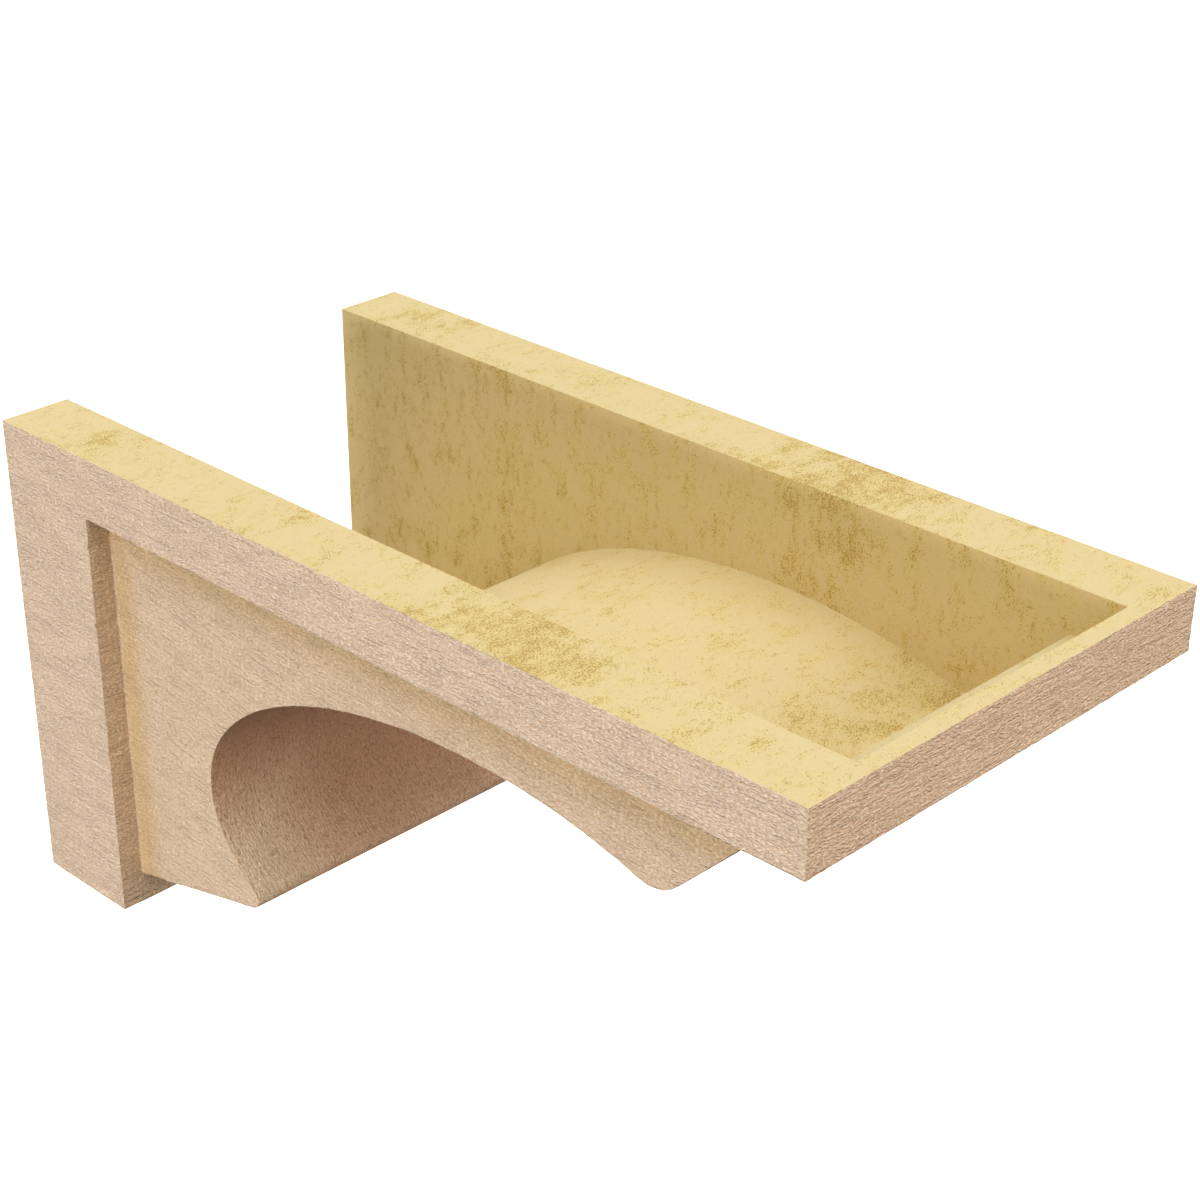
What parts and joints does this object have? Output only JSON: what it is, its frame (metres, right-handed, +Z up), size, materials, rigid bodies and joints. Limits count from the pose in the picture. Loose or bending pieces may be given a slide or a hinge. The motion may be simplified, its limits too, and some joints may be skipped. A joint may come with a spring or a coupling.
{
  "type": "polyurethane corbel",
  "caption": "Hollow moulded corbel with a scooped underside, raised L-shaped side bands and a rough-sawn timber look, open at the top and back.",
  "frame": {"origin": "middle of the back face of the solid foot, in the plane of the wall that the corbel is fixed to", "axes": "+X away from the wall towards the nose, +Y across the width, +Z up towards the open top that bears what the corbel carries"},
  "size_m": [0.6096, 0.3048, 0.3048],
  "materials": {
    "primed_foam": "sand-coloured matt primer on the rough-sawn outer faces, bare pale yellow foam on the rims and inside the hollow"
  },
  "bodies": {
    "root": {"corbel": "primed_foam"}
  },
  "joints": []
}
